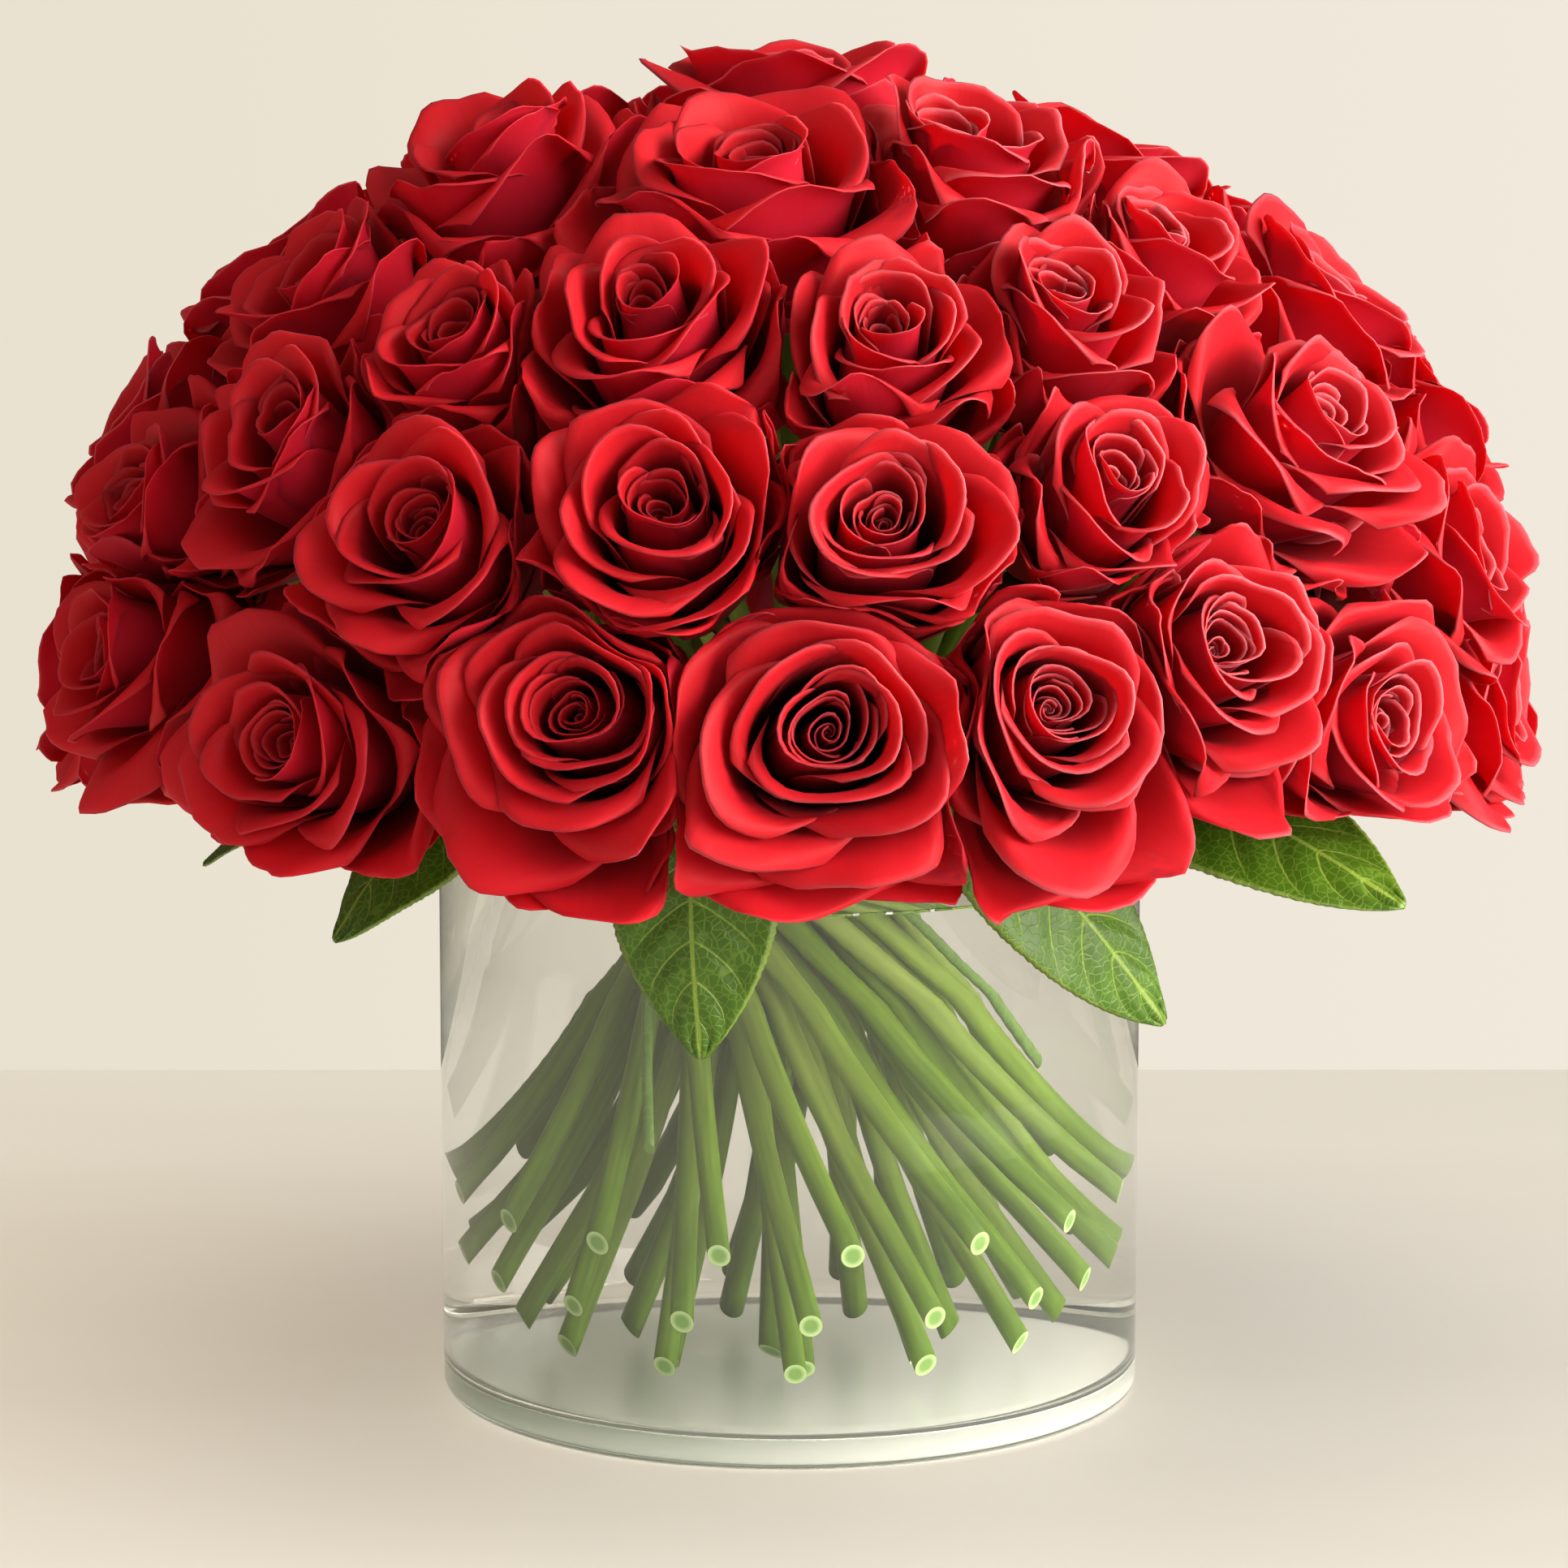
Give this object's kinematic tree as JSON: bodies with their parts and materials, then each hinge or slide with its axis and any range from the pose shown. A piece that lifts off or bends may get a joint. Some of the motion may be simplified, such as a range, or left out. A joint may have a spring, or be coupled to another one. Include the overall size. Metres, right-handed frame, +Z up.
{
  "type": "roses in a vase",
  "caption": "Dense dome of red roses with broad green leaves at the rim, stems crossing in water in a clear glass cylinder vase.",
  "frame": {"origin": "middle of the vase's foot, on the surface it stands on", "axes": "+Z up along the vase's axis, -Y towards the front of the picture, +X to its right"},
  "size_m": [0.4201, 0.4216, 0.3753],
  "materials": {
    "glass": "clear, polished",
    "water": "still clear water",
    "stem": "fresh green stem, satin",
    "petal": "velvety fresh petal",
    "leaf": "fresh leaf, soft gloss"
  },
  "bodies": {
    "root": {"vase": "glass", "water": "water", "rose_stems": "stem", "rose_rim_1": "petal", "rose_rim_2": "petal", "rose_rim_3": "petal", "rose_rim_4": "petal", "rose_rim_5": "petal", "rose_rim_6": "petal", "rose_rim_7": "petal", "rose_rim_8": "petal", "rose_rim_9": "petal", "rose_rim_10": "petal", "rose_rim_11": "petal", "rose_rim_12": "petal", "rose_rim_13": "petal", "rose_rim_14": "petal", "rose_rim_15": "petal", "rose_rim_16": "petal", "rose_lower_1": "petal", "rose_lower_2": "petal", "rose_lower_3": "petal", "rose_lower_4": "petal", "rose_lower_5": "petal", "rose_lower_6": "petal", "rose_lower_7": "petal", "rose_lower_8": "petal", "rose_lower_9": "petal", "rose_lower_10": "petal", "rose_lower_11": "petal", "rose_lower_12": "petal", "rose_lower_13": "petal", "rose_lower_14": "petal", "rose_lower_15": "petal", "rose_lower_16": "petal", "rose_lower_17": "petal", "rose_upper_1": "petal", "rose_upper_2": "petal", "rose_upper_3": "petal", "rose_upper_4": "petal", "rose_upper_5": "petal", "rose_upper_6": "petal", "rose_upper_7": "petal", "rose_upper_8": "petal", "rose_upper_9": "petal", "rose_upper_10": "petal", "rose_upper_11": "petal", "rose_upper_12": "petal", "rose_upper_13": "petal", "rose_crest_1": "petal", "rose_crest_2": "petal", "rose_crest_3": "petal", "rose_crest_4": "petal", "rose_crest_5": "petal", "rose_crest_6": "petal", "rose_crest_7": "petal", "rose_top_1": "petal", "leafy_twig_1": "leaf", "leafy_twig_2": "leaf", "leafy_twig_3": "leaf"}
  },
  "joints": []
}
